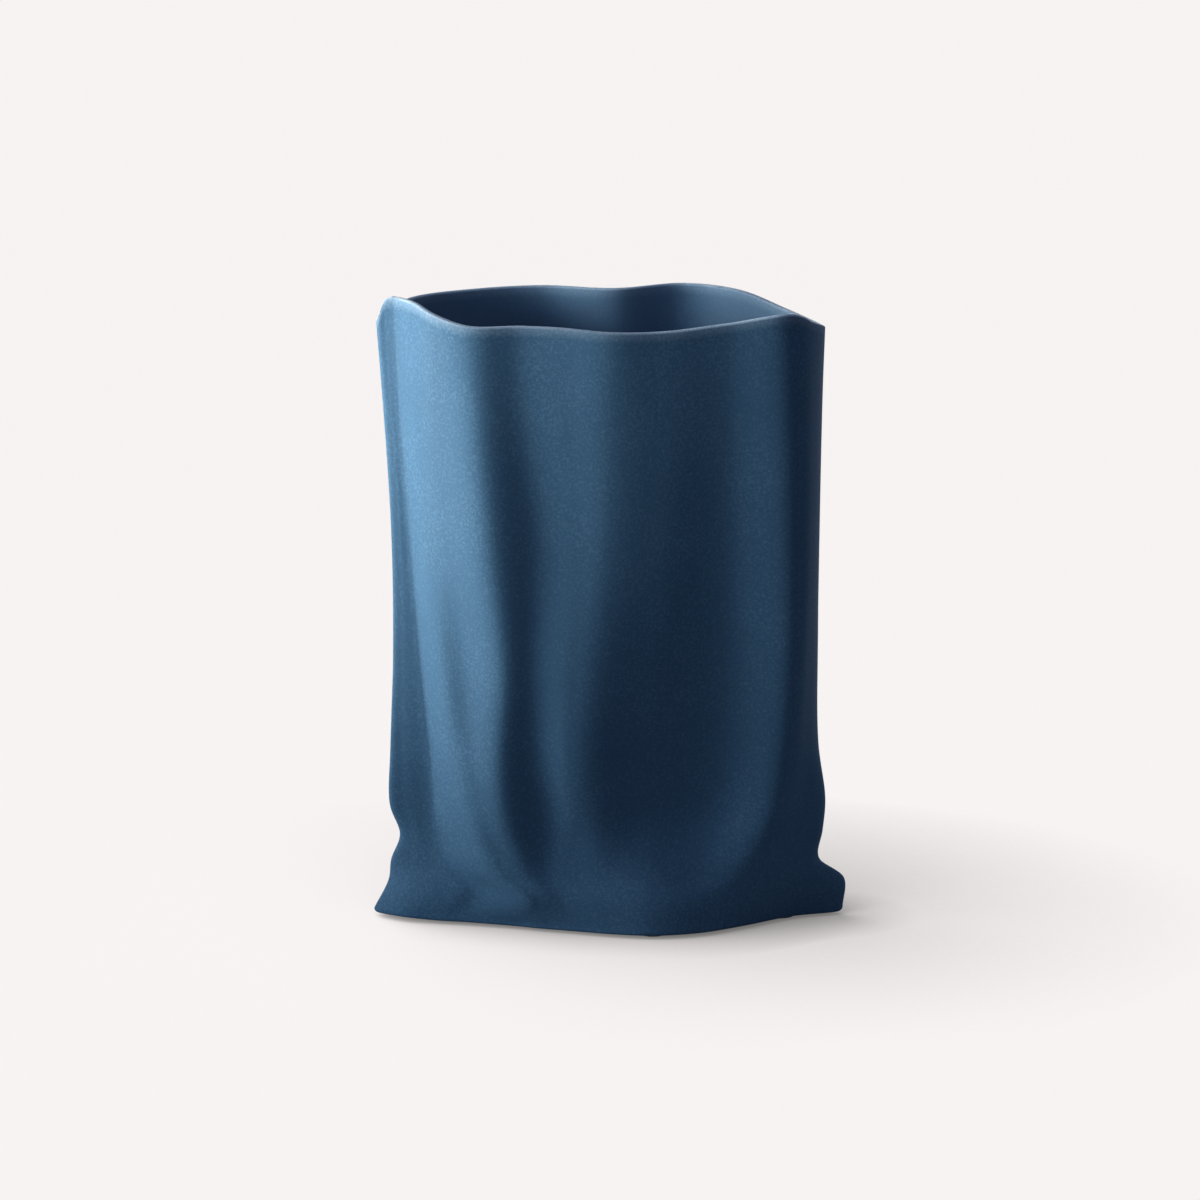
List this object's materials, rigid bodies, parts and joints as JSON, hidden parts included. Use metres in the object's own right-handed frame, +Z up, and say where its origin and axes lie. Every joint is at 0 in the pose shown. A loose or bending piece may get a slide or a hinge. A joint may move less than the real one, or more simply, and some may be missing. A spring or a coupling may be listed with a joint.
{
  "type": "paper bag vase",
  "caption": "Free-standing ceramic vase shaped like an open, softly crumpled paper bag, with a pinched foot, a wavy rounded lip and a glazed inside that holds water and stems.",
  "frame": {"origin": "on the surface that the vase stands on, under the middle of its bounding box", "axes": "+Z up from the foot to the open rim, +X along the long side of the bag to the right, -Y towards the front of the bag"},
  "size_m": [0.1874, 0.1002, 0.255],
  "materials": {
    "satin_blue_ceramic": "satin deep blue with a fine eggshell grain",
    "blue_glaze_lining": "semi-gloss deep blue, smooth",
    "dark_felt": "pressed felt, matt"
  },
  "bodies": {
    "root": {"bag_body": "satin_blue_ceramic", "inner_glaze": "blue_glaze_lining", "foot_pad_left": "dark_felt", "foot_pad_right": "dark_felt", "foot_pad_front": "dark_felt", "foot_pad_back": "dark_felt"}
  },
  "joints": []
}
